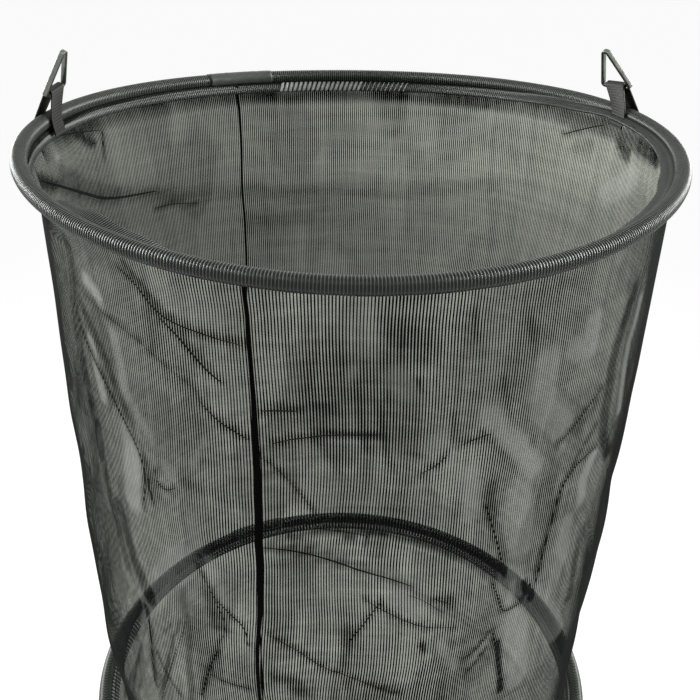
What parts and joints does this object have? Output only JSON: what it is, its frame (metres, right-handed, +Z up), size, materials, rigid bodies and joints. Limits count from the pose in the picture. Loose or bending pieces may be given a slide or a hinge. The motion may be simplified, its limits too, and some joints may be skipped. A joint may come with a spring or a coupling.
{
  "type": "keep net",
  "caption": "Long round tube of fine dark mesh held open by tape-wrapped hoops, closed at the bottom, hung by webbing tabs with triangle rings.",
  "frame": {"origin": "middle of the top hoop, at the mean height of its rod", "axes": "+Z up along the net, +X towards the right ring's side and +Y towards the back, as the picture shows it"},
  "size_m": [0.5121, 0.511, 1.8011],
  "materials": {
    "hoop_rod": "pultruded glass-fibre rod, satin",
    "ferrule": "drawn tube, as made",
    "tape": "ribbed woven binding tape, black with grey ribs",
    "tape_lap": "smooth woven tape, black",
    "net": "fine knitted mesh, dark olive",
    "seam": "bound and stitched edge, black",
    "webbing": "woven webbing, black",
    "ring_steel": "bent flat strip, dull"
  },
  "bodies": {
    "top_hoop": {"top_hoop_rod": "hoop_rod", "top_hoop_ferrule": "ferrule", "top_hoop_tape": "tape", "top_hoop_lap": "tape_lap", "upper_net_left_panel": "net", "upper_net_right_panel": "net", "upper_net_front_seam": "seam", "upper_net_back_seam": "seam", "left_tab": "webbing", "right_tab": "webbing"},
    "second_hoop": {"second_hoop_rod": "hoop_rod", "second_hoop_ferrule": "ferrule", "second_hoop_tape": "tape", "second_hoop_lap": "tape_lap", "middle_net_left_panel": "net", "middle_net_right_panel": "net", "middle_net_front_seam": "seam", "middle_net_back_seam": "seam"},
    "third_hoop": {"third_hoop_rod": "hoop_rod", "third_hoop_ferrule": "ferrule", "third_hoop_tape": "tape", "third_hoop_lap": "tape_lap", "lower_net_left_panel": "net", "lower_net_right_panel": "net", "lower_net_front_seam": "seam", "lower_net_back_seam": "seam"},
    "base_hoop": {"base_hoop_rod": "hoop_rod", "base_hoop_ferrule": "ferrule", "base_hoop_tape": "tape", "base_hoop_lap": "tape_lap", "base_net": "net"},
    "left_ring": {"left_triangle_ring": "ring_steel"},
    "right_ring": {"right_triangle_ring": "ring_steel"}
  },
  "joints": [
    {"name": "second_hoop_slide", "type": "slide", "parent": "top_hoop", "child": "second_hoop", "axis": [0, 0, 1], "range_m": [0, 0.551], "deforming": ["upper_net_left_panel", "upper_net_right_panel", "upper_net_front_seam", "upper_net_back_seam"]},
    {"name": "third_hoop_slide", "type": "slide", "parent": "second_hoop", "child": "third_hoop", "axis": [0, 0, 1], "range_m": [0, 0.551], "deforming": ["middle_net_left_panel", "middle_net_right_panel", "middle_net_front_seam", "middle_net_back_seam"]},
    {"name": "base_hoop_slide", "type": "slide", "parent": "third_hoop", "child": "base_hoop", "axis": [0, 0, 1], "range_m": [0, 0.551], "deforming": ["lower_net_left_panel", "lower_net_right_panel", "lower_net_front_seam", "lower_net_back_seam"]},
    {"name": "left_ring_hinge", "type": "hinge", "parent": "top_hoop", "child": "left_ring", "pos_m": [-0.24263, 0.04087, 0.0268], "axis": [0.2444, 0.9659, 0.0854], "range_deg": [-114, 65]},
    {"name": "right_ring_hinge", "type": "hinge", "parent": "top_hoop", "child": "right_ring", "pos_m": [0.22752, 0.09406, 0.0268], "axis": [0.5898, -0.8, 0.1097], "range_deg": [-120, 59]}
  ]
}
